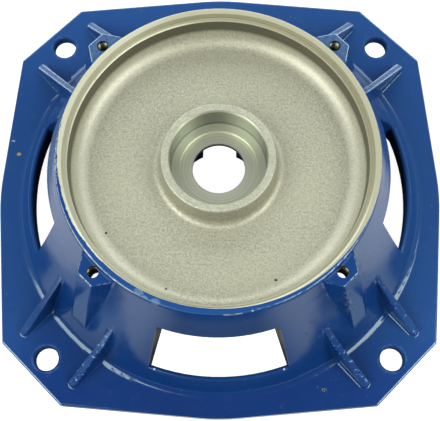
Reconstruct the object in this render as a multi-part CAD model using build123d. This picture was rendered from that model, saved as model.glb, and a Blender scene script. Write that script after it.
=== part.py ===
from build123d import *
import math
import os

# Pump lantern bracket: one aluminium die casting.
# Frame: origin on the axis of the shaft bore at the underside of the square
# flange, +Z up through the bearing hub to the motor rim.  Millimetres.

# ---------------------------------------------------------------- flange
FLANGE_T = 4.5              # plate thickness
FLANGE_R = 87.1             # half size at the middle of each side (arc radius)
CORNER_A = 82.2             # corner break, long coordinate
CORNER_B = 59.1             # corner break, short coordinate
FLANGE_EDGE_R = 0.7         # rounding of the upper edge
BOLT_XY = 65.0              # mounting holes at (+-65, +-65): 130 x 130 square
BOLT_D = 9.0

# ---------------------------------------------------------------- lantern wall
H = 50.0                    # rim height
RIM_R = 57.3                # outer radius at the rim
SLOPE = 0.38                # radial growth of the wall per mm of height lost
FLARE_R = 230.0             # long concave flare towards the foot
TOE_R = 78.5                # where the flare meets the plate
TOE_FILLET = 3.3
OPEN_R = 73.0               # opening of the bell at z = 0 between the windows
WALL_TOP_R = 60.0           # inner face of the wall at the pan underside

# ---------------------------------------------------------------- windows
WIN_SIDE_OUT = (58.7, 21.2, 36.2)    # outer edge of a side face: along the axis, across, at height
WIN_SIDE_OUT_D = (-0.435, -0.19)      # its growth per mm of height
WIN_SIDE_IN = (58.47, 20.1, 28.3)     # inner edge of the same face
WIN_SIDE_IN_D = (-0.343, -0.213)
WIN_R = 72.65               # face of the sill at its crest
WIN_R0 = 73.4               # the same face at z = 0 (draft)
WIN_TOP_Z = 36.2            # upper edge on the outside
SILL_R = 1.1                # rounding along the sill crest
WIN_CORNER_R = 2.2          # at the foot of the opening only

# ---------------------------------------------------------------- motor register and pan
REG_R = 55.0                # register, diameter 110
REG_Z = 47.0                # ledge of the register
PAN_R = 53.6                # pan wall at the ledge
PAN_FLOOR_Z = 36.4
PAN_FILLET = 6.0
PAN_UNDER_Z = 33.0

# ---------------------------------------------------------------- bearing hub
HUB_Z = 47.0
HUB_R = 20.8
HUB_FOOT_R = 21.2
HUB_FILLET = 2.8
SEAT_R = 17.5               # bearing seat, diameter 35 x 11 deep
SEAT_EDGE = 0.35            # chamfer of its mouth
SEAT_Z = 36.0
RELIEF_R = 14.3
RELIEF_Z = 35.0
BORE_R = 9.6                # shaft bore

# ---------------------------------------------------------------- collar under the pan
COLLAR_RI = 15.7
COLLAR_RO = 19.2
COLLAR_Z = 8.0
SLOT_W = 13.0
SLOT_TOP_Z = 26.0

# ---------------------------------------------------------------- ears
EAR_Z = 49.0
EAR_TIP = 63.8              # along the diagonal
EAR_HALF = 3.5              # half width of the tip face
EAR_SIDE = 0.648            # growth of the half width per mm towards the rim
EAR_SLOPE = 0.283           # outward slope of the tip face
EAR_PCD = 120.0
EAR_HOLE_D = 4.2            # tapping size of M5
EAR_PAD_Z = 41.5            # underside of the tapped pad
POCKET_D = 7.0

# ---------------------------------------------------------------- ribs
RIB_OFF = 13.7              # from the diagonal, where x along the diagonal is RIB_AT
RIB_AT = 80.0
RIB_TURN = 2.6              # the ribs of a pair lean this much towards the Y axis, degrees
RIB_END = 92.2              # nose, along the diagonal
RIB_HALF = 1.65             # half thickness at the plate
RIB_DRAFT = 2.0
RIB_HI = (68.0, 22.0)       # crest at the wall: along the diagonal, height
RIB_LO = (91.0, 7.0)        # crest near the nose
RIB_CREST_R = 0.5
RIB_FOOT_R = 0.9            # fillet where a rib meets plate and wall
EAR_FOOT_R = 1.2            # the same for the ears


def cone_r(z):
    return RIM_R + SLOPE * (H - z)


alpha = math.atan(SLOPE)
n_cone = (math.cos(alpha), math.sin(alpha))          # outward normal of the wall in (r, z)
d_cone = (math.sin(alpha), -math.cos(alpha))         # down the wall

# flare: an arc tangent to the wall that ends at the toe
dist = (TOE_R - cone_r(FLANGE_T)) * math.cos(alpha)
chord = math.sqrt(2 * FLARE_R * dist)
along = (TOE_R - RIM_R) * d_cone[0] + (FLANGE_T - H) * d_cone[1]
s0 = along - math.sqrt(chord ** 2 - dist ** 2)
F0 = (RIM_R + s0 * d_cone[0], H + s0 * d_cone[1])
FC = (F0[0] + FLARE_R * n_cone[0], F0[1] + FLARE_R * n_cone[1])
a0 = math.atan2(F0[1] - FC[1], F0[0] - FC[0])
a1 = math.atan2(FLANGE_T - FC[1], TOE_R - FC[0])
if a1 < a0:
    a1 += 2 * math.pi
FM = (FC[0] + FLARE_R * math.cos((a0 + a1) / 2), FC[1] + FLARE_R * math.sin((a0 + a1) / 2))


def flare_z(r):
    return FC[1] - math.sqrt(FLARE_R ** 2 - (FC[0] - r) ** 2)


def rz(r, z):
    return (r, 0, z)


def ring(edges):
    """Revolve a closed chain of edges in the XZ plane about Z."""
    return revolve(make_face(Wire(edges)), Axis.Z, 360)


def rim_round(r):
    """Points of the small rounding between the wall and the rim face."""
    # tangent length on both faces
    t = r * math.tan((math.pi / 2 - alpha) / 2)
    p = (RIM_R + t * d_cone[0], H + t * d_cone[1])
    q = (RIM_R - t, H)
    c = (q[0], H - r)
    mid_a = (math.pi / 2 + alpha) / 2
    m = (c[0] + r * math.cos(mid_a), c[1] + r * math.sin(mid_a))
    return p, m, q


# ---------------------------------------------------------------- solid outside form
SEAM = 26.0                 # start of the revolved faces, on plain wall between window and rib
rp, rm, rq = rim_round(0.6)

# toe fillet: tangent to the plate and to the flare
tz = FLANGE_T + TOE_FILLET
# centre lies TOE_FILLET above the plate and FLARE_R - TOE_FILLET from the flare centre
tr = FC[0] - math.sqrt((FLARE_R - TOE_FILLET) ** 2 - (FC[1] - tz) ** 2)
ta = math.atan2(tz - FC[1], tr - FC[0])
TP = (FC[0] + FLARE_R * math.cos(ta), FC[1] + FLARE_R * math.sin(ta))      # on the flare
TQ = (tr, FLANGE_T)                                                        # on the plate
tb = (ta + 2 * math.pi + 3 * math.pi / 2) / 2 if ta < 0 else (ta + 3 * math.pi / 2) / 2
TM = (tr + TOE_FILLET * math.cos(tb), tz + TOE_FILLET * math.sin(tb))
ta_n = ta if ta > 0 else ta + 2 * math.pi
am = (a0 if a0 > 0 else a0 + 2 * math.pi)
fm = (am + ta_n) / 2
FMID = (FC[0] + FLARE_R * math.cos(fm), FC[1] + FLARE_R * math.sin(fm))

outer = ring([
    Edge.make_line(rz(0, 0), rz(84, 0)),
    Edge.make_line(rz(84, 0), rz(84, FLANGE_T)),
    Edge.make_line(rz(84, FLANGE_T), rz(*TQ)),
    Edge.make_three_point_arc(rz(*TQ), rz(*TM), rz(*TP)),
    Edge.make_three_point_arc(rz(*TP), rz(*FMID), rz(*F0)),
    Edge.make_line(rz(*F0), rz(*rp)),
    Edge.make_three_point_arc(rz(*rp), rz(*rm), rz(*rq)),
    Edge.make_line(rz(*rq), rz(0, H)),
    Edge.make_line(rz(0, H), rz(0, 0)),
]).rotate(Axis.Z, SEAM)

# ---------------------------------------------------------------- plate
# each side is an arc about the axis at its middle with straight runs to the corners
reach = math.hypot(CORNER_A, CORNER_B)
tilt = math.atan2(CORNER_B, CORNER_A) - math.acos(FLANGE_R / reach)
ax, ay = FLANGE_R * math.sin(tilt), FLANGE_R * math.cos(tilt)


def rot(p, k):
    x, y = p
    for _ in range(k):
        x, y = -y, x
    return (x, y)


plate_edges = []
for k in range(4):
    a, b = rot((CORNER_B, CORNER_A), k), rot((ax, ay), k)
    m, c = rot((0, FLANGE_R), k), rot((-ax, ay), k)
    d, e = rot((-CORNER_B, CORNER_A), k), rot((-CORNER_A, CORNER_B), k)
    h = [(FLANGE_R * math.sin(t), FLANGE_R * math.cos(t)) for t in (tilt / 2, -tilt / 2)]
    plate_edges += [Edge.make_line(a, b), Edge.make_three_point_arc(b, rot(h[0], k), m),
                    Edge.make_three_point_arc(m, rot(h[1], k), c),
                    Edge.make_line(c, d), Edge.make_line(d, e)]
plate = extrude(make_face(Wire(plate_edges)), FLANGE_T, dir=(0, 0, 1))
upper = plate.edges().filter_by(lambda e: abs(e.center().Z - FLANGE_T) < 1e-4)
plate = fillet(upper, FLANGE_EDGE_R)

body = outer + plate

# ---------------------------------------------------------------- ears with their gussets
# made on the +X axis, then turned onto the diagonals
tipx = EAR_TIP
inx = 40.0
wide = EAR_HALF + EAR_SIDE * (tipx - inx)
ear_plan = make_face(Wire([
    Edge.make_line((tipx, -EAR_HALF, EAR_Z), (tipx, EAR_HALF, EAR_Z)),
    Edge.make_line((tipx, EAR_HALF, EAR_Z), (inx, wide, EAR_Z)),
    Edge.make_line((inx, wide, EAR_Z), (inx, -wide, EAR_Z)),
    Edge.make_line((inx, -wide, EAR_Z), (tipx, -EAR_HALF, EAR_Z)),
]))
drop = EAR_Z - 3.0
ear = extrude(ear_plan, math.hypot(drop, drop * EAR_SLOPE), dir=(EAR_SLOPE, 0, -1))
tip_edges = [e for e in ear.edges()
             if e.center().X > tipx - 1 and abs(abs(e.center().Y) - EAR_HALF) < 0.05 and e.length > 20]
ear = fillet(tip_edges, 0.8)
top_edges = [e for e in ear.edges() if abs(e.center().Z - EAR_Z) < 1e-3 and e.center().X > inx + 1]
ear = fillet(top_edges, 0.4)

# ---------------------------------------------------------------- ribs
crest_slope = (RIB_HI[1] - RIB_LO[1]) / (RIB_LO[0] - RIB_HI[0])


def crest(x):
    return RIB_LO[1] + crest_slope * (RIB_LO[0] - x)


rib_plan = make_face(Wire([
    Edge.make_line((60, -RIB_HALF, 3.0), (RIB_END - RIB_HALF, -RIB_HALF, 3.0)),
    Edge.make_three_point_arc((RIB_END - RIB_HALF, -RIB_HALF, 3.0), (RIB_END, 0, 3.0),
                              (RIB_END - RIB_HALF, RIB_HALF, 3.0)),
    Edge.make_line((RIB_END - RIB_HALF, RIB_HALF, 3.0), (60, RIB_HALF, 3.0)),
    Edge.make_line((60, RIB_HALF, 3.0), (60, -RIB_HALF, 3.0)),
]))
rib = extrude(rib_plan, 23, dir=(0, 0, 1), taper=RIB_DRAFT)
under = extrude(make_face(Wire([
    Edge.make_line((55, -5, 0), (98, -5, 0)),
    Edge.make_line((98, -5, 0), (98, -5, crest(98))),
    Edge.make_line((98, -5, crest(98)), (55, -5, crest(55))),
    Edge.make_line((55, -5, crest(55)), (55, -5, 0)),
])), 10, dir=(0, 1, 0))
rib = rib & under
rib_top = [e for e in rib.edges() if e.center().Z > 5.5 and e.center().X > 61
           and abs(e.center().Z - crest(e.center().X)) < 0.35]
rib = fillet(rib_top, RIB_CREST_R)

for k in range(4):
    turn = 45 + 90 * k
    body = body + ear.rotate(Axis.Z, turn)
    lean = RIB_TURN if k % 2 == 0 else -RIB_TURN
    for side in (-1, 1):
        one = rib.rotate(Axis((RIB_AT, 0, 0), (0, 0, 1)), lean)
        body = body + one.moved(Location((0, side * RIB_OFF, 0))).rotate(Axis.Z, turn)

# ---------------------------------------------------------------- fillets at the feet of the ribs and ears


def loc(p, turn):
    """A point in the frame whose +X runs along the diagonal at angle turn."""
    a = math.radians(-turn)
    return (p.X * math.cos(a) - p.Y * math.sin(a), p.X * math.sin(a) + p.Y * math.cos(a), p.Z)


def within(e, turn, test):
    return all(test(loc(e.position_at(u), turn)) for u in (0, 0.5, 1))


def rib_foot(b, turn, side):
    out = []
    for e in b.edges():
        if not within(e, turn, lambda q: 63 < q[0] < 94 and abs(q[1] - side * RIB_OFF) < 3.0
                      and FLANGE_T - 0.01 <= q[2] < 26):
            continue
        c = loc(e.position_at(0.5), turn)
        if c[2] > FLANGE_T + 0.6 and c[0] > TOE_R - 0.1:
            continue
        if c[2] > crest(c[0]) - 1.2 and c[0] > 69.4:
            continue
        out.append(e)
    return out


def ear_foot(b, turn):
    out = []
    for e in b.edges():
        if not within(e, turn, lambda q: 55 < q[0] < 78 and abs(q[1]) < 9 and 5 < q[2] < EAR_Z + 0.01):
            continue
        c = loc(e.position_at(0.5), turn)
        r = math.hypot(c[0], c[1])
        if c[2] > F0[1]:
            on_wall = abs(r - cone_r(c[2])) < 0.05
        else:
            on_wall = abs(c[2] - flare_z(r)) < 0.05
        if on_wall:
            out.append(e)
    return out


for k in range(4):
    turn = 45 + 90 * k
    for side in (-1, 1):
        body = fillet(rib_foot(body, turn, side), RIB_FOOT_R)
    body = fillet(ear_foot(body, turn), EAR_FOOT_R)
print("outside form", body.volume, len(body.solids()))

# ---------------------------------------------------------------- pan, register and hub
hub_d = (HUB_R - HUB_FOOT_R, HUB_Z - PAN_FLOOR_Z)
pan = ring([
    Edge.make_line(rz(0, H + 5), rz(REG_R + 0.25, H + 5)),
    Edge.make_line(rz(REG_R + 0.25, H + 5), rz(REG_R + 0.25, H)),
    Edge.make_line(rz(REG_R + 0.25, H), rz(REG_R, H - 0.4)),
    Edge.make_line(rz(REG_R, H - 0.4), rz(REG_R, REG_Z)),
    Edge.make_line(rz(REG_R, REG_Z), rz(PAN_R, REG_Z)),
    Edge.make_line(rz(PAN_R, REG_Z), rz(PAN_R - 0.2, PAN_FLOOR_Z + PAN_FILLET)),
    Edge.make_three_point_arc(rz(PAN_R - 0.2, PAN_FLOOR_Z + PAN_FILLET),
                              rz(PAN_R - 0.2 - PAN_FILLET * (1 - math.sqrt(0.5)),
                                 PAN_FLOOR_Z + PAN_FILLET * (1 - math.sqrt(0.5))),
                              rz(PAN_R - 0.2 - PAN_FILLET, PAN_FLOOR_Z)),
    Edge.make_line(rz(PAN_R - 0.2 - PAN_FILLET, PAN_FLOOR_Z), rz(HUB_FOOT_R + HUB_FILLET, PAN_FLOOR_Z)),
    Edge.make_three_point_arc(rz(HUB_FOOT_R + HUB_FILLET, PAN_FLOOR_Z),
                              rz(HUB_FOOT_R + HUB_FILLET * (1 - math.sqrt(0.5)),
                                 PAN_FLOOR_Z + HUB_FILLET * (1 - math.sqrt(0.5))),
                              rz(HUB_FOOT_R, PAN_FLOOR_Z + HUB_FILLET)),
    Edge.make_line(rz(HUB_FOOT_R, PAN_FLOOR_Z + HUB_FILLET), rz(HUB_R, HUB_Z - 0.8)),
    Edge.make_three_point_arc(rz(HUB_R, HUB_Z - 0.8), rz(HUB_R - 0.8 * (1 - math.sqrt(0.5)), HUB_Z - 0.8 * (1 - math.sqrt(0.5))),
                              rz(HUB_R - 0.8, HUB_Z)),
    Edge.make_line(rz(HUB_R - 0.8, HUB_Z), rz(SEAT_R + SEAT_EDGE, HUB_Z)),
    Edge.make_line(rz(SEAT_R + SEAT_EDGE, HUB_Z), rz(SEAT_R, HUB_Z - SEAT_EDGE)),
    Edge.make_line(rz(SEAT_R, HUB_Z - SEAT_EDGE), rz(SEAT_R, SEAT_Z)),
    Edge.make_line(rz(SEAT_R, SEAT_Z), rz(RELIEF_R, SEAT_Z)),
    Edge.make_line(rz(RELIEF_R, SEAT_Z), rz(RELIEF_R, RELIEF_Z)),
    Edge.make_line(rz(RELIEF_R, RELIEF_Z), rz(BORE_R, RELIEF_Z)),
    Edge.make_line(rz(BORE_R, RELIEF_Z), rz(BORE_R, PAN_UNDER_Z - 1)),
    Edge.make_line(rz(BORE_R, PAN_UNDER_Z - 1), rz(0, PAN_UNDER_Z - 1)),
    Edge.make_line(rz(0, PAN_UNDER_Z - 1), rz(0, H + 5)),
])
body = body - pan

# ---------------------------------------------------------------- inside of the bell and the collar
f1, f2, f3 = 3.0, 2.5, 0.8
q45 = 1 - math.sqrt(0.5)
wall_a = math.atan2(OPEN_R - WALL_TOP_R, PAN_UNDER_Z)          # lean of the inner wall
t1 = f1 * math.tan((math.pi / 2 - wall_a) / 2)
wp = (WALL_TOP_R + t1 * math.sin(wall_a), PAN_UNDER_Z - t1 * math.cos(wall_a))
wq = (WALL_TOP_R - t1, PAN_UNDER_Z)
wc = (wq[0], PAN_UNDER_Z - f1)
wma = (math.pi / 2 + wall_a) / 2
wm = (wc[0] + f1 * math.cos(wma), wc[1] + f1 * math.sin(wma))
bell = ring([
    Edge.make_line(rz(COLLAR_RO, -1), rz(OPEN_R + (OPEN_R - WALL_TOP_R) / PAN_UNDER_Z, -1)),
    Edge.make_line(rz(OPEN_R + (OPEN_R - WALL_TOP_R) / PAN_UNDER_Z, -1), rz(*wp)),
    Edge.make_three_point_arc(rz(*wp), rz(*wm), rz(*wq)),
    Edge.make_line(rz(*wq), rz(COLLAR_RO + 0.6 + f2, PAN_UNDER_Z)),
    Edge.make_three_point_arc(rz(COLLAR_RO + 0.6 + f2, PAN_UNDER_Z),
                              rz(COLLAR_RO + 0.6 + f2 * q45, PAN_UNDER_Z - f2 * q45),
                              rz(COLLAR_RO + 0.6, PAN_UNDER_Z - f2)),
    Edge.make_line(rz(COLLAR_RO + 0.6, PAN_UNDER_Z - f2), rz(COLLAR_RO, COLLAR_Z + f3)),
    Edge.make_line(rz(COLLAR_RO, COLLAR_Z + f3), rz(COLLAR_RO, -1)),
])
body = body - bell
core = ring([
    Edge.make_line(rz(0, -1), rz(COLLAR_RO + 1, -1)),
    Edge.make_line(rz(COLLAR_RO + 1, -1), rz(COLLAR_RO + 1, COLLAR_Z)),
    Edge.make_line(rz(COLLAR_RO + 1, COLLAR_Z), rz(COLLAR_RI + 0.6, COLLAR_Z)),
    Edge.make_line(rz(COLLAR_RI + 0.6, COLLAR_Z), rz(COLLAR_RI, COLLAR_Z + 0.6)),
    Edge.make_line(rz(COLLAR_RI, COLLAR_Z + 0.6), rz(COLLAR_RI, PAN_UNDER_Z)),
    Edge.make_line(rz(COLLAR_RI, PAN_UNDER_Z), rz(0, PAN_UNDER_Z)),
    Edge.make_line(rz(0, PAN_UNDER_Z), rz(0, -1)),
])
body = body - core

# slots that turn the collar into four fingers
for k in range(2):
    slot = Pos(0, 0, (SLOT_TOP_Z + 0) / 2) * Box(SLOT_W, 2 * COLLAR_RO + 8, SLOT_TOP_Z)
    slot = fillet([e for e in slot.edges() if abs(e.center().Z - SLOT_TOP_Z) < 1e-3
                   and abs(abs(e.center().X) - SLOT_W / 2) < 1e-3], 3.0)
    body = body - slot.rotate(Axis.Z, 90 * k)
print("cored", body.volume, len(body.solids()))

# ---------------------------------------------------------------- windows
slope_w = (WIN_R0 - WIN_R) / 10.0


def win_r(z):
    return WIN_R0 - slope_w * z


lip_r = cone_r(WIN_TOP_Z)
win_face = make_face(Wire([
    Edge.make_line(rz(48, -1), rz(win_r(-1), -1)),
    Edge.make_line(rz(win_r(-1), -1), rz(win_r(20), 20)),
    Edge.make_line(rz(win_r(20), 20), rz(win_r(20), WIN_TOP_Z)),
    Edge.make_line(rz(win_r(20), WIN_TOP_Z), rz(lip_r, WIN_TOP_Z)),
    Edge.make_line(rz(lip_r, WIN_TOP_Z), rz(lip_r - 4.2, PAN_UNDER_Z)),
    Edge.make_line(rz(lip_r - 4.2, PAN_UNDER_Z), rz(48, PAN_UNDER_Z)),
    Edge.make_line(rz(48, PAN_UNDER_Z), rz(48, -1)),
]))
win = revolve(win_face, Axis.Z, 60).rotate(Axis.Z, -30)


def side_point(at, grow, z):
    return (at[0] + grow[0] * (z - at[2]), at[1] + grow[1] * (z - at[2]))


def side_section(z):
    """Plan of the window at height z: its side faces turn a little with height."""
    o = side_point(WIN_SIDE_OUT, WIN_SIDE_OUT_D, z)
    i = side_point(WIN_SIDE_IN, WIN_SIDE_IN_D, z)
    far = (o[0] + 2.5 * (o[0] - i[0]), o[1] + 2.5 * (o[1] - i[1]))
    near = (i[0] + 4 * (i[0] - o[0]), i[1] + 4 * (i[1] - o[1]))
    return [(near[0], near[1], z), (far[0], far[1], z), (far[0], -far[1], z), (near[0], -near[1], z)]


def side_face(z):
    q = side_section(z)
    return make_face(Wire([Edge.make_line(q[n], q[(n + 1) % 4]) for n in range(4)]))


opening = loft([side_face(-1.0), side_face(WIN_TOP_Z + 1)], ruled=True)
win = win & opening
v_edges = [e for e in win.edges()
           if e.length > 10 and math.hypot(e.center().X, e.center().Y) > 70
           and abs(e.tangent_at(0.5).Z) > 0.9]
print("window corner edges", len(v_edges))
win = fillet(v_edges, WIN_CORNER_R)
# the crest of the sill is rounded: everything above an arc between its inner face
# and the flare comes away, between the planes of the side faces
bite = 0.02
d = SILL_R - bite
lo_z, hi_z = 5.0, 20.0
for _ in range(50):
    cz = (lo_z + hi_z) / 2
    if math.hypot(FC[0] - win_r(cz) - d, FC[1] - cz) > FLARE_R + d:
        lo_z = cz
    else:
        hi_z = cz
cr = win_r(cz) + d
th = math.atan2(FC[1] - cz, FC[0] - cr)
tm = (th + math.pi) / 2
crest_in = (cr - SILL_R, cz)
crest_mid = (cr + SILL_R * math.cos(tm), cz + SILL_R * math.sin(tm))
crest_out = (cr + SILL_R * math.cos(th), cz + SILL_R * math.sin(th))
print("sill crest", crest_in, crest_mid, crest_out)
sill_cut = ring([
    Edge.make_line(rz(66, 3), rz(win_r(3) - bite, 3)),
    Edge.make_line(rz(win_r(3) - bite, 3), rz(*crest_in)),
    Edge.make_three_point_arc(rz(*crest_in), rz(*crest_mid), rz(*crest_out)),
    Edge.make_line(rz(*crest_out), rz(78, crest_out[1])),
    Edge.make_line(rz(78, crest_out[1]), rz(78, 30)),
    Edge.make_line(rz(78, 30), rz(66, 30)),
    Edge.make_line(rz(66, 30), rz(66, 3)),
])
win = win + (sill_cut & opening)
for k in range(4):
    body = body - win.rotate(Axis.Z, 90 * k)
print("windows", body.volume, len(body.solids()))

# ---------------------------------------------------------------- holes
for sx in (-1, 1):
    for sy in (-1, 1):
        body = body - Pos(sx * BOLT_XY, sy * BOLT_XY, 0) * Cylinder(BOLT_D / 2, 20)
        body = body - Pos(sx * BOLT_XY, sy * BOLT_XY, FLANGE_T - 0.2) * Cone(BOLT_D / 2, BOLT_D / 2 + 0.8, 0.8)
for k in range(4):
    a = math.radians(45 + 90 * k)
    x, y = EAR_PCD / 2 * math.cos(a), EAR_PCD / 2 * math.sin(a)
    body = body - Pos(x, y, 45) * Cylinder(EAR_HOLE_D / 2, 20)
    body = body - Pos(x, y, EAR_Z) * Cone(EAR_HOLE_D / 2 - 0.3, EAR_HOLE_D / 2 + 0.3, 0.9)
    body = body - Pos(x, y, EAR_PAD_Z - 15) * Cone(POCKET_D / 2 + 0.4, POCKET_D / 2, 30)
print("holes", body.volume, len(body.solids()))

body = body.solids()[0] if len(body.solids()) == 1 else body
os.makedirs("parts", exist_ok=True)
export_step(body, "parts/lantern_bracket.step")
bb = body.bounding_box()
print("box", bb.min, bb.max, "valid", body.is_valid)
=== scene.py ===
import bpy
import math
from mathutils import Matrix, Quaternion, Vector


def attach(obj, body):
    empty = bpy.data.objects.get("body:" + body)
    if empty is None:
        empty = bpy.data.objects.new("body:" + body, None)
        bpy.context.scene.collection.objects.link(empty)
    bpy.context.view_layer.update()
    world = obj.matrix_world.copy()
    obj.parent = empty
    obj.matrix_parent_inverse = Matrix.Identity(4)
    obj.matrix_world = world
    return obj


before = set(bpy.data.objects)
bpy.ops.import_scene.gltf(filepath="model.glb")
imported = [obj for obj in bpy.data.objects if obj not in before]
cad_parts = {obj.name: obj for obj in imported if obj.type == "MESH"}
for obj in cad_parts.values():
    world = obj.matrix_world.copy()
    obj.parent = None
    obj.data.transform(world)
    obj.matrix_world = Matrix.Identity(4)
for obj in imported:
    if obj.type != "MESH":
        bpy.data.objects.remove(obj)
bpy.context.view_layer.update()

scene = bpy.context.scene
scene.view_settings.view_transform = "Standard"
scene.view_settings.look = "None"


# ------------------------------------------------------------------ camera
def make_camera():
    f, cx = 938.0, 227.0
    e, yaw, roll = math.radians(72.36), math.radians(-0.66), math.radians(-0.64)
    tx, ty, tz = -0.00283, -0.00489, 0.37661
    c, s = math.cos(yaw), math.sin(yaw)
    right = Vector((c, -s, 0))
    up = Vector((s * math.sin(e), c * math.sin(e), math.cos(e)))
    fwd = Vector((s * math.cos(e), c * math.cos(e), -math.sin(e)))
    cr, sr = math.cos(roll), math.sin(roll)
    # image axes: x to the right, y down
    centre = -(right * tx - up * ty + fwd * tz)
    r2 = right * cr + up * sr
    u2 = right * (-sr) + up * cr
    cam_data = bpy.data.cameras.new("camera")
    cam = bpy.data.objects.new("camera", cam_data)
    scene.collection.objects.link(cam)
    m = Matrix((
        (r2.x, u2.x, -fwd.x, centre.x),
        (r2.y, u2.y, -fwd.y, centre.y),
        (r2.z, u2.z, -fwd.z, centre.z),
        (0, 0, 0, 1)))
    cam.matrix_world = m
    cam_data.sensor_fit = "HORIZONTAL"
    cam_data.sensor_width = 36.0
    cam_data.lens = 36.0 * f / 440.0
    cam_data.shift_x = -(cx - 220.0) / 440.0
    cam_data.shift_y = 0.0
    cam_data.clip_start, cam_data.clip_end = 0.01, 20.0
    scene.camera = cam
    return cam


cam = make_camera()


# ------------------------------------------------------------------ small node helpers
class Tree:
    def __init__(self, name):
        self.mat = bpy.data.materials.new(name)
        self.mat.use_nodes = True
        self.nt = self.mat.node_tree
        self.nt.nodes.clear()
        self.out = self.nt.nodes.new("ShaderNodeOutputMaterial")

    def new(self, kind, **props):
        n = self.nt.nodes.new(kind)
        for k, v in props.items():
            setattr(n, k, v)
        return n

    def link(self, a, b):
        self.nt.links.new(a, b)

    def val(self, sock, v):
        if isinstance(v, bpy.types.NodeSocket):
            self.link(v, sock)
        else:
            sock.default_value = v

    def math(self, op, a, b=None, c=None, clamp=False):
        n = self.new("ShaderNodeMath", operation=op, use_clamp=clamp)
        self.val(n.inputs[0], a)
        if b is not None:
            self.val(n.inputs[1], b)
        if c is not None:
            self.val(n.inputs[2], c)
        return n.outputs[0]

    def vmath(self, op, a, b=None):
        n = self.new("ShaderNodeVectorMath", operation=op)
        self.val(n.inputs[0], a)
        if b is not None:
            self.val(n.inputs[1], b)
        return n.outputs["Value"] if op in ("LENGTH", "DOT_PRODUCT", "DISTANCE") else n.outputs["Vector"]

    def ramp(self, x, lo, hi, a=0.0, b=1.0, smooth=True):
        n = self.new("ShaderNodeMapRange")
        n.interpolation_type = "SMOOTHSTEP" if smooth else "LINEAR"
        n.clamp = True
        self.val(n.inputs["Value"], x)
        self.val(n.inputs["From Min"], lo)
        self.val(n.inputs["From Max"], hi)
        self.val(n.inputs["To Min"], a)
        self.val(n.inputs["To Max"], b)
        return n.outputs["Result"]

    def noise(self, vec, scale, detail=2.0, rough=0.5, kind="NOISE", dist=0.0):
        n = self.new("ShaderNodeTexNoise")
        n.noise_dimensions = "3D"
        self.val(n.inputs["Vector"], vec)
        self.val(n.inputs["Scale"], scale)
        self.val(n.inputs["Detail"], detail)
        self.val(n.inputs["Roughness"], rough)
        self.val(n.inputs["Distortion"], dist)
        return n.outputs["Fac"]

    def mix(self, fac, a, b):
        n = self.new("ShaderNodeMix", data_type="RGBA", blend_type="MIX")
        self.val(n.inputs[0], fac)
        self.val(n.inputs[6], a)
        self.val(n.inputs[7], b)
        return n.outputs[2]

    def fmix(self, fac, a, b):
        n = self.new("ShaderNodeMix", data_type="FLOAT")
        self.val(n.inputs[0], fac)
        self.val(n.inputs[2], a)
        self.val(n.inputs[3], b)
        return n.outputs[0]

    def bump(self, height, strength, distance, normal=None):
        n = self.new("ShaderNodeBump")
        n.inputs["Strength"].default_value = strength
        n.inputs["Distance"].default_value = distance
        self.link(height, n.inputs["Height"])
        if normal is not None:
            self.link(normal, n.inputs["Normal"])
        return n.outputs["Normal"]


def srgb(r, g, b):
    f = lambda c: (c / 255 / 12.92) if c / 255 <= 0.04045 else ((c / 255 + 0.055) / 1.055) ** 2.4
    return (f(r), f(g), f(b), 1.0)


# ------------------------------------------------------------------ casting material
ROOT2 = math.sqrt(0.5)


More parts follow.
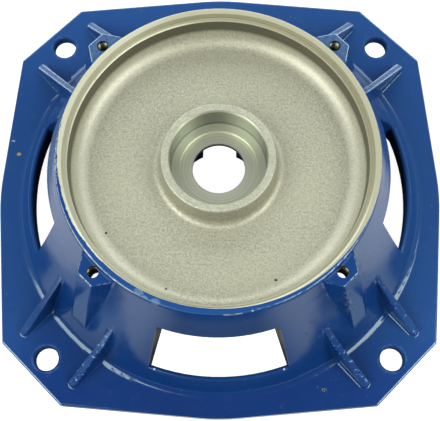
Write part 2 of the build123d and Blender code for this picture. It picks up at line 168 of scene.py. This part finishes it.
def casting():
    t = Tree("painted_casting")
    tc = t.new("ShaderNodeTexCoord")
    pmm = t.vmath("MULTIPLY", tc.outputs["Object"], (1000.0, 1000.0, 1000.0))
    sep = t.new("ShaderNodeSeparateXYZ")
    t.link(pmm, sep.inputs[0])
    x, y, z = sep.outputs[0], sep.outputs[1], sep.outputs[2]
    r = t.math("SQRT", t.math("ADD", t.math("MULTIPLY", x, x), t.math("MULTIPLY", y, y)))
    ax, ay = t.math("ABSOLUTE", x), t.math("ABSOLUTE", y)
    # along and across the nearest diagonal, and along and across the nearest window
    u = t.math("MULTIPLY", t.math("ADD", ax, ay), ROOT2)
    w = t.math("MULTIPLY", t.math("SUBTRACT", ax, ay), ROOT2)
    aw = t.math("ABSOLUTE", w)
    a, b = t.math("MAXIMUM", ax, ay), t.math("MINIMUM", ax, ay)

    def mul(*v):
        o = v[0]
        for k in v[1:]:
            o = t.math("MULTIPLY", o, k)
        return o

    def big(*v):
        o = v[0]
        for k in v[1:]:
            o = t.math("MAXIMUM", o, k)
        return o

    def near(v, at, half, soft=0.15):
        """1 where v lies within half of at."""
        return t.ramp(t.math("ABSOLUTE", t.math("SUBTRACT", v, at)), half - soft, half + soft, 1.0, 0.0)

    n_big = t.noise(pmm, 0.028, 3.0, 0.55)
    n_mid = t.noise(pmm, 0.30, 3.0, 0.6)
    n_edge = t.noise(pmm, 0.75, 3.0, 0.65)
    n_fine = t.noise(pmm, 2.1, 3.0, 0.7)
    n_grain = t.noise(pmm, 1.35, 4.0, 0.75)

    def spot(cx, cy, rx, ry, ang=0.0, rough=0.55):
        """A ragged patch seen from above."""
        c, s = math.cos(math.radians(ang)), math.sin(math.radians(ang))
        dx, dy = t.math("SUBTRACT", x, cx), t.math("SUBTRACT", y, cy)
        px = t.math("ADD", t.math("MULTIPLY", dx, c / rx), t.math("MULTIPLY", dy, s / rx))
        py = t.math("ADD", t.math("MULTIPLY", dx, -s / ry), t.math("MULTIPLY", dy, c / ry))
        d = t.math("SQRT", t.math("ADD", t.math("MULTIPLY", px, px), t.math("MULTIPLY", py, py)))
        d = t.math("ADD", d, t.math("MULTIPLY", t.math("SUBTRACT", n_fine, 0.5), rough * 2))
        return t.ramp(d, 0.75, 1.15, 1.0, 0.0)

    # ---- where the casting is left bare
    # the masking disc stood a little off centre, so paint lies on the near part of the rim face
    dx, dy = t.math("SUBTRACT", x, MASK_X), t.math("SUBTRACT", y, MASK_Y)
    rm = t.math("SQRT", t.math("ADD", t.math("MULTIPLY", dx, dx), t.math("MULTIPLY", dy, dy)))
    left = mul(t.ramp(x, -50.0, -34.0, 1.0, 0.0), t.ramp(y, 30.0, 42.0, 1.0, 0.0))
    wob = t.math("MULTIPLY", t.math("SUBTRACT", n_mid, t.fmix(left, 0.5, 0.62)), t.fmix(left, 0.30, 1.5))
    in_disc = t.ramp(t.math("ADD", rm, wob), 57.1, 57.3, 1.0, 0.0)
    in_pan = mul(t.ramp(r, 55.9, 56.1, 1.0, 0.0), t.ramp(z, 33.6, 33.8, 0.0, 1.0))
    top_face = t.ramp(z, 49.3, 49.5, 0.0, 1.0)
    bare = mul(big(in_pan, top_face), in_disc)

    # side faces of the front window: the paint hardly reached them
    oa = t.math("ADD", t.math("MULTIPLY", z, -0.435), 58.7 + 0.435 * 36.2)
    ob = t.math("ADD", t.math("MULTIPLY", z, -0.19), 21.2 + 0.19 * 36.2)
    ia = t.math("ADD", t.math("MULTIPLY", z, -0.343), 58.47 + 0.343 * 28.3)
    ib = t.math("ADD", t.math("MULTIPLY", z, -0.213), 20.1 + 0.213 * 28.3)
    da, db = t.math("SUBTRACT", oa, ia), t.math("SUBTRACT", ob, ib)
    ln = t.math("SQRT", t.math("ADD", t.math("MULTIPLY", da, da), t.math("MULTIPLY", db, db)))
    cr = t.math("SUBTRACT", t.math("MULTIPLY", t.math("SUBTRACT", a, ia), db),
                t.math("MULTIPLY", t.math("SUBTRACT", b, ib), da))
    off = t.math("DIVIDE", t.math("ABSOLUTE", cr), ln)
    side = mul(t.ramp(off, 0.10, 0.30, 1.0, 0.0), t.ramp(z, 13.0, 14.5, 0.0, 1.0),
               t.ramp(z, 36.2, 36.5, 1.0, 0.0), t.ramp(a, 52.0, 53.0, 0.0, 1.0),
               t.ramp(t.math("SUBTRACT", r, t.math("ADD", t.math("MULTIPLY", z, -0.48), 57.3 + 22.6)), -0.4, 0.1, 1.0, 0.0))
    side = mul(side, t.ramp(n_edge, 0.30, 0.42, 0.0, 1.0), t.ramp(y, -38.0, -34.0, 1.0, 0.0))

    # ---- wear down to the metal
    # outer edge of the rim, on the left and at the front
    r_out = mul(near(r, 57.15, 0.5), t.ramp(z, 48.9, 49.1, 0.0, 1.0))
    worn_l = mul(r_out, t.ramp(x, -52.0, -46.0, 1.0, 0.0), t.ramp(y, 22.0, 30.0, 1.0, 0.0), t.ramp(y, -14.0, -6.0, 0.0, 1.0),
                 t.ramp(n_edge, 0.46, 0.54, 0.0, 0.55))
    worn_l2 = mul(near(r, 57.30, 0.11, 0.06), t.ramp(z, 48.9, 49.1, 0.0, 1.0), t.ramp(x, -30.0, -27.0, 1.0, 0.0),
                  t.ramp(y, -22.0, -18.0, 1.0, 0.0), t.ramp(n_edge, 0.34, 0.46, 0.0, 0.9))
    worn_f = mul(near(r, 57.38, 0.16, 0.08), t.ramp(z, 48.7, 48.9, 0.0, 1.0), near(x, 5.0, 3.2, 0.5),
                 t.ramp(y, -40.0, -38.0, 1.0, 0.0), t.ramp(n_edge, 0.36, 0.46, 0.0, 1.0))
    dot_f = mul(spot(11.6, -56.0, 0.45, 0.3), t.ramp(z, 48.0, 48.5, 0.0, 1.0))
    # ear edges
    ear_z = t.ramp(z, 48.45, 48.6, 0.0, 1.0)
    tip = mul(ear_z, t.ramp(u, 63.45, 63.6, 0.0, 1.0), t.ramp(aw, 4.0, 4.2, 1.0, 0.0))
    flank = t.math("SUBTRACT", aw, t.math("ADD", t.math("MULTIPLY", u, -0.648), 3.5 + 0.648 * 63.8))
    flank = mul(ear_z, t.ramp(flank, -0.34, -0.2, 0.0, 1.0), t.ramp(u, 58.0, 58.4, 0.0, 1.0))
    ear_edge = mul(big(tip, flank), t.ramp(n_edge, 0.50, 0.60, 0.0, 0.8))
    # rib crests: pale at the back, partly scraped paint, partly a painted highlight; only flecked at the front
    crest_d = t.math("SUBTRACT", z, t.math("ADD", t.math("MULTIPLY", u, -0.652), 7.0 + 0.652 * 91.0))
    on_rib = mul(near(aw, 13.75, 2.6, 0.3), t.ramp(u, 66.5, 67.0, 0.0, 1.0), t.ramp(u, 92.6, 93.0, 1.0, 0.0))
    turn_w = t.math("MULTIPLY", t.math("SUBTRACT", u, 80.0), t.ramp(w, -1.0, 1.0, -0.0454, 0.0454))
    rib_off = t.math("ABSOLUTE", t.math("ADD", t.math("SUBTRACT", aw, 13.7), turn_w))
    upper = mul(t.ramp(t.math("ADD", t.math("SUBTRACT", aw, 13.7), turn_w), -0.2, 0.2, 0.0, 1.0), t.ramp(w, -1.0, 1.0, 1.0, 0.0))
    crest_line = mul(on_rib, near(rib_off, 0.95, 0.22, 0.12), t.fmix(upper, 1.0, 0.4), t.ramp(crest_d, -1.1, -0.7, 0.0, 1.0),
                     t.ramp(z, 5.0, 5.4, 0.0, 1.0), t.ramp(y, -5.0, 5.0, 0.0, 1.0), t.ramp(n_edge, 0.35, 0.55, 0.35, 1.0))
    on_crest = mul(on_rib, t.ramp(crest_d, -0.75, -0.25, 0.0, 1.0), t.ramp(z, 5.0, 5.4, 0.0, 1.0))
    back = t.ramp(y, -5.0, 5.0, 0.0, 1.0)
    pale_crest_and_highlight = mul(on_crest, back, t.ramp(n_mid, 0.30, 0.62, 0.15, 0.65))
    steep = t.ramp(w, -1.0, 1.0, 1.0, 0.0)          # the ribs nearer the Y axis
    fleck = mul(on_rib, t.ramp(crest_d, -2.4, -0.9, 0.0, 1.0), t.ramp(z, 5.0, 5.4, 0.0, 1.0),
                t.math("SUBTRACT", 1.0, back), big(steep, t.ramp(x, -5.0, 5.0, 0.0, 0.8)), t.ramp(n_edge, 0.58, 0.65, 0.0, 0.6), t.ramp(u, 68.0, 72.0, 0.3, 1.0))
    # scattered chips and scrapes
    up_rim = t.ramp(z, 47.5, 48.0, 0.0, 1.0)
    scrape = mul(big(spot(-26.4, -49.55, 1.9, 1.2, -30, 0.9), spot(-20.73, -52.79, 1.7, 1.0, -22, 0.9),
                     spot(-24.4, -51.3, 1.2, 0.5, -26, 0.9)), up_rim, t.ramp(n_fine, 0.34, 0.60, 0.15, 1.0))
    low = t.ramp(z, 5.2, 5.6, 1.0, 0.0)
    chip_all = mul(big(spot(39.1, -76.6, 1.35, 0.75, -12, 0.8), spot(36.6, -75.6, 0.35, 0.35)), low)
    chip = mul(chip_all, t.ramp(n_fine, 0.50, 0.58, 0.0, 1.0))
    chip2 = mul(spot(-83.5, 23.0, 0.9, 0.35, -10), low)
    stain = mul(spot(-80.9, 17.3, 0.85, 0.75, 15, 0.5), low)
    stain_rim = mul(spot(-81.1, 17.1, 1.5, 1.1, 15, 0.9), low)
    on_wall = mul(t.ramp(z, 14.0, 16.0, 0.0, 1.0), t.ramp(z, 44.0, 46.0, 1.0, 0.0))
    wall_dark = big(spot(33.4, -55.8, 2.0, 0.9, 20, 1.8), spot(31.2, -59.4, 1.0, 0.6, 10, 1.8),
                    spot(52.5, -38.9, 1.7, 1.2, 20, 1.8), spot(49.9, -37.3, 0.8, 1.2, 25, 1.8),
                    spot(40.8, -51.6, 1.1, 0.9, 0, 1.8))
    wall_dark = mul(wall_dark, on_wall, t.ramp(n_fine, 0.50, 0.54, 0.0, 1.0))
    ridge = mul(near(w, -3.0, 1.1, 0.4), t.ramp(u, 62.5, 63.0, 0.0, 1.0), t.ramp(z, 24.0, 28.0, 0.0, 1.0),
                t.ramp(z, 43.0, 45.0, 1.0, 0.0), t.ramp(x, 5.0, 10.0, 0.0, 1.0), t.ramp(y, -10.0, -5.0, 1.0, 0.0))
    ridge_dark = mul(ridge, t.ramp(n_edge, 0.46, 0.50, 0.0, 1.0))
    ridge_pale = mul(ridge, t.ramp(n_edge, 0.55, 0.59, 0.0, 0.7))
    wall_dark = big(wall_dark, mul(ridge_dark, 0.8))
    pan_dark = mul(big(spot(20.2, -42.3, 0.6, 0.45), spot(-40.1, -25.1, 0.5, 0.5), spot(-18.3, -45.5, 0.5, 0.4)),
                   in_pan)
    # painted highlight: bright dots at the corners of the front window sill
    sill_highlight = mul(big(spot(-23.68, -69.88, 0.42, 0.38, 0, 0.2), spot(23.96, -69.97, 0.42, 0.38, 0, 0.2)),
                   t.ramp(z, 9.0, 10.0, 0.0, 1.0), t.ramp(z, 14.0, 15.0, 1.0, 0.0))
    wear_and_sill_highlight = big(sill_highlight, worn_l, worn_l2, worn_f, dot_f, mul(ear_edge, t.math("SUBTRACT", 1.0, back), 0.8), mul(chip, 0.6), mul(chip2, 0.7))

    # ear holes: bare threads, their bores coloured near-black as painted shade
    hu = t.math("SUBTRACT", u, 60.0)
    hr = t.math("SQRT", t.math("ADD", t.math("MULTIPLY", hu, hu), t.math("MULTIPLY", w, w)))
    hole = mul(t.ramp(hr, 2.10, 2.16, 1.0, 0.0), t.ramp(z, 41.0, 41.2, 0.0, 1.0))

    # ---- paint
    tone = t.ramp(n_big, 0.30, 0.70, 0.0, 1.0)
    blue = t.mix(tone, PAINT_A, PAINT_B)
    blue = t.mix(t.ramp(n_mid, 0.25, 0.8, 0.0, 0.16), blue, PAINT_C)
    # the back ears' tops are rubbed to a duller, paler blue, and carry a painted sheen as well
    dull_and_sheen = mul(t.ramp(z, 48.4, 48.6, 0.0, 1.0), back, t.ramp(r, 57.4, 57.9, 0.0, 1.0))
    dull_and_sheen = mul(dull_and_sheen, t.ramp(n_edge, 0.2, 0.7, 0.35, 1.0))
    # painted light: the blue is paler at the sides and the back, most of all low down on the flange
    painted_light_sides = big(t.ramp(y, 10.0, 75.0, 0.0, 0.6), t.ramp(ax, 62.0, 80.0, 0.0, 0.4), t.ramp(x, 40.0, 80.0, 0.0, 0.6))
    # painted reflection: a greyer blue on the front of the conical wall
    blue = t.mix(mul(t.ramp(y, -52.0, -44.0, 0.45, 0.0), t.ramp(ax, 14.0, 26.0, 1.0, 0.0), t.ramp(z, 14.0, 18.0, 0.0, 1.0), t.ramp(z, 44.0, 48.0, 1.0, 0.0)),
                 blue, srgb(52, 72, 104))
    blue = t.mix(mul(painted_light_sides, t.ramp(z, 6.0, 20.0, 1.0, 0.4)), blue, srgb(34, 72, 126))
    # painted shade: the flange darker towards the front
    blue = t.mix(mul(t.ramp(y, -78.0, -50.0, 0.55, 0.0), low), blue, srgb(2, 36, 98))
    # painted sheen: a pale grey-blue on the conical wall above the left window
    painted_sheen_left = mul(t.ramp(x, -58.0, -54.0, 1.0, 0.0), near(y, 12.0, 14.0, 8.0), t.ramp(z, 26.0, 32.0, 0.0, 1.0), t.ramp(z, 48.0, 49.0, 1.0, 0.0))
    blue = t.mix(mul(painted_sheen_left, 0.42), blue, srgb(124, 146, 160))
    blue = t.mix(mul(dull_and_sheen, t.ramp(n_fine, 0.40, 0.60, 0.15, 0.85)), blue, PALE)
    blue = t.mix(mul(pale_crest_and_highlight, 0.8), blue, PALE)
    # pale edges of the back ears and a line along the crests: rubbed paint with a painted highlight
    back_edge_wear_highlight = mul(big(tip, flank), back, t.ramp(n_edge, 0.30, 0.45, 0.5, 1.0))
    blue = t.mix(mul(big(back_edge_wear_highlight, crest_line), 0.75), blue, srgb(166, 184, 214))
    # pale line along the chamfered corners of the flange: rubbed paint with a painted highlight
    corner = mul(near(u, 99.36, 0.18, 0.1), t.ramp(z, 3.9, 4.1, 0.0, 1.0), t.ramp(n_mid, 0.3, 0.5, 0.5, 1.0))
    blue = t.mix(mul(corner, 0.55), blue, srgb(140, 166, 205))
    dust = mul(t.ramp(n_edge, 0.60, 0.72, 0.0, 1.0), t.ramp(n_mid, 0.5, 0.65, 0.0, 1.0))
    blue = t.mix(mul(dust, 0.10), blue, srgb(150, 160, 175))
    blue = t.mix(mul(scrape, 0.75), blue, srgb(146, 170, 164))
    blue = t.mix(mul(wall_dark, 0.75), blue, srgb(12, 24, 40))
    blue = t.mix(ridge_pale, blue, srgb(96, 122, 146))
    blue = t.mix(t.math("MINIMUM", mul(fleck, 1.5), 1.0), blue, srgb(112, 144, 190))
    # narrow bright line along the rim's outer edge: rubbed paint with a painted highlight; and faint painted highlight
    # rings round the corner holes
    rim_edge = mul(near(r, 57.22, 0.15, 0.07), big(t.ramp(x, -24.0, -16.0, 1.0, 0.25), t.ramp(x, 26.0, 34.0, 0.0, 1.0)), t.ramp(z, 49.5, 49.7, 0.0, 1.0), t.ramp(n_edge, 0.32, 0.52, 0.2, 1.0))
    blue = t.mix(mul(rim_edge, 0.55), blue, srgb(140, 165, 205))
    # painted light: the painted part of the rim face paler at the front
    blue = t.mix(mul(t.ramp(z, 49.4, 49.6, 0.0, 1.0), t.ramp(y, -20.0, -30.0, 0.0, 0.6)), blue, srgb(26, 68, 122))
    qx, qy = t.math("SUBTRACT", ax, 65.0), t.math("SUBTRACT", ay, 65.0)
    qr = t.math("SQRT", t.math("ADD", t.math("MULTIPLY", qx, qx), t.math("MULTIPLY", qy, qy)))
    hole_ring_highlight = mul(near(qr, 5.3, 0.35, 0.25), low, t.ramp(n_mid, 0.40, 0.60, 0.1, 1.0))
    blue = t.mix(mul(hole_ring_highlight, 0.35), blue, srgb(70, 104, 152))
    blue = t.mix(mul(chip_all, 0.75), blue, srgb(30, 40, 52))
    blue = t.mix(mul(stain_rim, 0.45), blue, srgb(58, 58, 84))
    blue = t.mix(mul(stain, 0.9), blue, srgb(140, 142, 66))
    paint = t.new("ShaderNodeBsdfPrincipled")
    t.link(blue, paint.inputs["Base Color"])
    p_rough = t.ramp(n_mid, 0.2, 0.8, 0.10, 0.17)
    p_rough = t.math("ADD", p_rough, t.math("MULTIPLY", big(dull_and_sheen, pale_crest_and_highlight, scrape, wall_dark), 0.3), clamp=True)
    t.link(p_rough, paint.inputs["Roughness"])
    paint.inputs["IOR"].default_value = 1.58
    paint.inputs["Specular Tint"].default_value = (0.80, 1.0, 0.92, 1.0)
    # the corner between ear and rim is full of dull, thick paint
    nook = mul(t.ramp(r, 57.3, 57.45, 0.0, 1.0), t.ramp(r, 58.5, 58.9, 1.0, 0.0), t.ramp(z, 48.7, 48.85, 0.0, 1.0),
               t.ramp(z, 49.85, 49.95, 1.0, 0.0))
    t.link(t.fmix(nook, 0.5, 0.08), paint.inputs["Specular IOR Level"])
    skin = t.bump(n_edge, 0.05, 0.00003)
    skin = t.bump(t.noise(pmm, 0.16, 2.0, 0.5), 0.07, 0.0002, skin)
    t.link(skin, paint.inputs["Normal"])

    # ---- bare casting: blasted skin, machined rings
    seat = mul(t.ramp(r, 17.9, 18.05, 1.0, 0.0), t.ramp(z, 32.0, 32.2, 0.0, 1.0))
    reg = mul(t.ramp(r, 53.4, 53.6, 0.0, 1.0), t.ramp(z, 46.6, 46.8, 0.0, 1.0))
    hub = mul(t.ramp(r, 22.0, 22.3, 1.0, 0.0), t.ramp(z, 46.0, 46.3, 0.0, 1.0))
    turned = big(seat, reg)
    grain = t.ramp(n_grain, 0.28, 0.72, 0.0, 1.0, smooth=False)
    cast_c = t.mix(grain, CAST_A, CAST_B)
    cast_c = t.mix(t.ramp(n_big, 0.3, 0.7, 0.0, 0.35), cast_c, CAST_C)
    cast_c = t.mix(mul(hub, t.ramp(n_fine, 0.45, 0.7, 0.0, 0.5)), cast_c, srgb(190, 196, 184))
    # painted highlight: paler rings on the fillets of the pan floor and round the hub foot, at the sides
    fillet_highlight = big(mul(t.ramp(r, 46.4, 48.6, 0.0, 1.0), t.ramp(r, 52.6, 53.4, 1.0, 0.0)),
                 mul(t.ramp(r, 21.0, 21.5, 0.0, 1.0), t.ramp(r, 23.4, 24.6, 1.0, 0.0)))
    fillet_highlight = mul(fillet_highlight, t.ramp(ax, 10.0, 42.0, 0.0, 1.0), t.ramp(r, 30.0, 40.0, 0.35, 1.0))
    cast_c = t.mix(mul(fillet_highlight, 0.35), cast_c, srgb(214, 213, 192))
    ring_v = t.new("ShaderNodeCombineXYZ")
    t.link(r, ring_v.inputs[0])
    t.link(t.math("MULTIPLY", z, 1.0), ring_v.inputs[1])
    n_ring = t.noise(ring_v.outputs[0], 5.5, 3.0, 0.7)
    reg_c = t.mix(t.ramp(n_ring, 0.3, 0.7, 0.0, 1.0), REG_A, REG_B)
    seat_c = t.mix(t.ramp(n_ring, 0.3, 0.7, 0.0, 1.0), SEAT_A, SEAT_B)
    mach_c = t.mix(seat, reg_c, seat_c)
    metal_c = t.mix(turned, cast_c, mach_c)
    # painted glints: a bright line on the inner rim of the register ledge at the back left, and on its top edge at the
    # front
    lip_glint = mul(near(r, 53.75, 0.38, 0.12), t.ramp(z, 46.5, 46.6, 0.0, 1.0), t.ramp(z, 47.0, 47.2, 1.0, 0.0),
              t.ramp(x, -20.0, -2.0, 1.0, 0.1), t.ramp(y, -5.0, 30.0, 0.0, 1.0))
    brow_glint = mul(near(r, 55.35, 0.35, 0.12), t.ramp(z, 49.3, 49.5, 0.0, 1.0), t.ramp(y, -30.0, -10.0, 1.0, 0.0))
    # painted light: the register paler on the left
    metal_c = t.mix(mul(reg, t.ramp(x, -34.0, -12.0, 0.45, 0.0)), metal_c, srgb(206, 206, 182))
    metal_c = t.mix(mul(big(lip_glint, mul(brow_glint, 0.5)), t.ramp(n_edge, 0.30, 0.45, 0.5, 0.95)), metal_c, srgb(240, 240, 216))
    # painted light and shade: the bare side faces go from near-black low down to a lighter olive higher up
    lit = mul(t.ramp(z, 16.0, 30.0, 0.0, 1.0), t.ramp(y, -45.0, -35.0, 1.0, 0.0))
    metal_c = t.mix(side, metal_c, t.mix(mul(lit, t.ramp(n_edge, 0.3, 0.6, 0.5, 1.0)), SIDE_A, SIDE_B))
    metal_c = t.mix(pan_dark, metal_c, srgb(60, 58, 50))
    # painted shade: the drafted wall of the pan and the wall of the bearing seat are made darker than the floor
    wall = mul(t.ramp(r, 52.6, 53.3, 0.0, 1.0), t.ramp(z, 40.0, 42.0, 0.0, 1.0), t.ramp(z, 46.7, 46.9, 1.0, 0.0))
    metal_c = t.mix(mul(wall, 0.85), metal_c, srgb(80, 80, 64))
    bore = mul(t.ramp(r, 17.2, 17.4, 0.0, 1.0), seat, t.ramp(z, 45.6, 46.4, 1.0, 0.0))
    metal_c = t.mix(mul(bore, 0.8), metal_c, t.mix(t.ramp(n_ring, 0.35, 0.65, 0.0, 1.0), srgb(62, 74, 70), srgb(90, 102, 98)))
    # painted shade: near-black in the ear-hole bores
    metal_c = t.mix(hole, metal_c, srgb(34, 34, 32))
    metal_c = t.mix(big(worn_l, worn_l2, worn_f, dot_f, ear_edge, chip, chip2), metal_c, srgb(150, 162, 170))
    # painted highlight on the sill corners
    metal_c = t.mix(sill_highlight, metal_c, srgb(176, 190, 206))
    cast = t.new("ShaderNodeBsdfPrincipled")
    t.link(metal_c, cast.inputs["Base Color"])
    t.link(t.fmix(side, t.fmix(seat, t.fmix(reg, 0.52, 0.35), 0.85), 0.0), cast.inputs["Metallic"])
    t.link(t.fmix(side, t.fmix(seat, t.fmix(reg, 0.50, 0.42), 0.36), 0.85), cast.inputs["Roughness"])
    cb = t.bump(n_grain, 0.35, 0.00012)
    cr_b = t.bump(n_ring, 0.25, 0.00005)
    nm = t.new("ShaderNodeMix", data_type="VECTOR")
    t.link(turned, nm.inputs[0])
    t.link(cb, nm.inputs[4])
    t.link(cr_b, nm.inputs[5])
    t.link(nm.outputs[1], cast.inputs["Normal"])

    fac = big(bare, mul(side, 0.9), wear_and_sill_highlight, hole)
    fac = t.math("MINIMUM", fac, 1.0)
    mixs = t.new("ShaderNodeMixShader")
    t.link(fac, mixs.inputs[0])
    t.link(paint.outputs[0], mixs.inputs[1])
    t.link(cast.outputs[0], mixs.inputs[2])
    t.link(mixs.outputs[0], t.out.inputs["Surface"])
    return t.mat


MASK_X, MASK_Y = 0.7, 1.9
PAINT_A, PAINT_B, PAINT_C = srgb(9, 46, 100), srgb(12, 52, 108), srgb(22, 60, 106)
PALE = srgb(72, 98, 122)
CAST_A, CAST_B, CAST_C = srgb(124, 124, 107), srgb(192, 191, 167), srgb(166, 164, 140)
REG_A, REG_B = srgb(148, 146, 120), srgb(180, 178, 151)
SEAT_A, SEAT_B = srgb(188, 190, 166), srgb(226, 227, 202)
# SIDE_A is painted shade on the bare window side faces, SIDE_B their lit colour
SIDE_A, SIDE_B = srgb(15, 16, 18), srgb(96, 94, 74)

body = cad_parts["lantern_bracket"]
body.data.materials.clear()
body.data.materials.append(casting())
for p in body.data.polygons:
    p.material_index = 0


# ------------------------------------------------------------------ threads of the ear holes
def thread_metal():
    t = Tree("thread_metal")
    tc = t.new("ShaderNodeTexCoord")
    pmm = t.vmath("MULTIPLY", tc.outputs["Object"], (1000.0, 1000.0, 1000.0))
    n = t.noise(pmm, 2.5, 3.0, 0.6)
    p = t.new("ShaderNodeBsdfPrincipled")
    t.link(t.mix(n, srgb(40, 42, 38), srgb(138, 138, 122)), p.inputs["Base Color"])
    p.inputs["Metallic"].default_value = 0.9
    p.inputs["Roughness"].default_value = 0.28
    t.link(t.bump(n, 0.3, 0.00005), p.inputs["Normal"])
    t.link(p.outputs[0], t.out.inputs["Surface"])
    return t.mat


def thread(k, mat):
    """M5 x 0.8 ridge standing in the tapping bore, from the chamfer down to the pocket."""
    turn = math.radians(45 + 90 * k)
    cx, cy = 60.0 * math.cos(turn), 60.0 * math.sin(turn)
    pitch, steps, top, end = 0.8, 28, 48.3, 41.9
    count = int((top - end) / pitch * steps)
    verts, faces = [], []
    for i in range(count + 1):
        a = 2 * math.pi * i / steps
        z = top - pitch * i / steps
        fade = min(1.0, i / steps, (count - i) / steps)
        ri, ro, h = 2.14 - 0.30 * fade, 2.16, 0.30
        c, s = math.cos(a), math.sin(a)
        for rr, zz in ((ro, z - h), (ri, z - 0.06), (ri, z + 0.06), (ro, z + h)):
            verts.append(((cx + rr * c) / 1000, (cy + rr * s) / 1000, zz / 1000))
    for i in range(count):
        p, q = 4 * i, 4 * i + 4
        for n in range(4):
            m = (n + 1) % 4
            faces.append((p + n, p + m, q + m, q + n))
    faces.append((3, 2, 1, 0))
    e = 4 * count
    faces.append((e, e + 1, e + 2, e + 3))
    mesh = bpy.data.meshes.new("ear_thread_%d" % k)
    mesh.from_pydata(verts, [], faces)
    mesh.validate()
    ob = bpy.data.objects.new("ear_thread_%d" % k, mesh)
    scene.collection.objects.link(ob)
    mesh.materials.append(mat)
    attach(ob, "root")
    return ob


metal = thread_metal()
for k in range(4):
    thread(k, metal)


# ------------------------------------------------------------------ floor, light
def make_floor():
    mesh = bpy.data.meshes.new("floor")
    s = 3.0
    mesh.from_pydata([(-s, -s, 0), (s, -s, 0), (s, s, 0), (-s, s, 0)], [], [(0, 1, 2, 3)])
    floor = bpy.data.objects.new("floor", mesh)
    floor.location.z = -0.0002
    scene.collection.objects.link(floor)
    t = Tree("floor")
    tc = t.new("ShaderNodeTexCoord")
    sp = t.new("ShaderNodeSeparateXYZ")
    t.link(tc.outputs["Object"], sp.inputs[0])
    # painted shadow: a darker strip on the floor straight in front of the casting, seen only in what the casting
    # mirrors
    fx, fy = t.math("ABSOLUTE", sp.outputs[0]), t.math("ABSOLUTE", sp.outputs[1])
    strip = t.math("MULTIPLY", t.ramp(fx, 0.028, 0.060, 1.0, 0.0), t.ramp(sp.outputs[1], -0.095, -0.085, 1.0, 0.0))
    # and the shade under the part
    dark = t.math("MAXIMUM", strip, t.ramp(t.math("MAXIMUM", fx, fy), 0.080, 0.088, 1.0, 0.0))
    bounce = t.new("ShaderNodeBsdfDiffuse")
    t.link(t.mix(dark, (0.62, 0.64, 0.66, 1), (0.06, 0.065, 0.07, 1)), bounce.inputs["Color"])
    d = t.new("ShaderNodeBsdfDiffuse")
    d.inputs["Color"].default_value = (0.55, 0.55, 0.56, 1)
    e = t.new("ShaderNodeEmission")
    e.inputs["Color"].default_value = (1, 1, 1, 1)
    # painted light: for camera rays the floor glows brighter under the part than around it
    t.link(t.ramp(t.math("MAXIMUM", fx, fy), 0.080, 0.086, 0.96, 0.50), e.inputs["Strength"])
    lp = t.new("ShaderNodeLightPath")
    m = t.new("ShaderNodeMixShader")
    add = t.new("ShaderNodeAddShader")
    t.link(d.outputs[0], add.inputs[0])
    t.link(e.outputs[0], add.inputs[1])
    t.link(lp.outputs["Is Camera Ray"], m.inputs[0])
    t.link(bounce.outputs[0], m.inputs[1])
    t.link(add.outputs[0], m.inputs[2])
    # nothing to see of the floor from below, so that the underside can be looked at
    geo = t.new("ShaderNodeNewGeometry")
    clear = t.new("ShaderNodeBsdfTransparent")
    m2 = t.new("ShaderNodeMixShader")
    t.link(geo.outputs["Backfacing"], m2.inputs[0])
    t.link(m.outputs[0], m2.inputs[1])
    t.link(clear.outputs[0], m2.inputs[2])
    t.link(m2.outputs[0], t.out.inputs["Surface"])
    floor.data.materials.append(t.mat)


make_floor()


def lamp(name, direction, dist, size, power, colour=(1, 1, 1), roll=0.0):
    d = Vector(direction).normalized()
    data = bpy.data.lights.new(name, "AREA")
    data.shape = "RECTANGLE"
    data.size, data.size_y = size
    data.energy = power
    data.color = colour
    o = bpy.data.objects.new(name, data)
    scene.collection.objects.link(o)
    o.location = d * dist
    o.rotation_mode = "QUATERNION"
    o.rotation_quaternion = d.to_track_quat("Z", "Y") @ Quaternion((0, 0, 1), math.radians(roll))
    return o


lamp("left", (-0.593, -0.315, 0.741), 1.1, (0.68, 0.88), 12.3, (0.985, 1.0, 0.985))
lamp("right", (0.638, -0.207, 0.741), 1.1, (0.52, 0.80), 9.4, (0.985, 1.0, 0.985), -25.0)
lamp("back", (0.0, 0.85, 0.53), 1.5, (2.2, 0.9), 22.0, (0.92, 0.97, 1.0))
lamp("low_back", (0.0, 1.0, 0.10), 1.7, (3.0, 0.30), 3.0, (0.9, 0.95, 1.0))

world = bpy.data.worlds.new("world")
scene.world = world
world.use_nodes = True
bg = world.node_tree.nodes["Background"]
bg.inputs["Color"].default_value = (0.8, 0.85, 0.95, 1)
bg.inputs["Strength"].default_value = 0.24
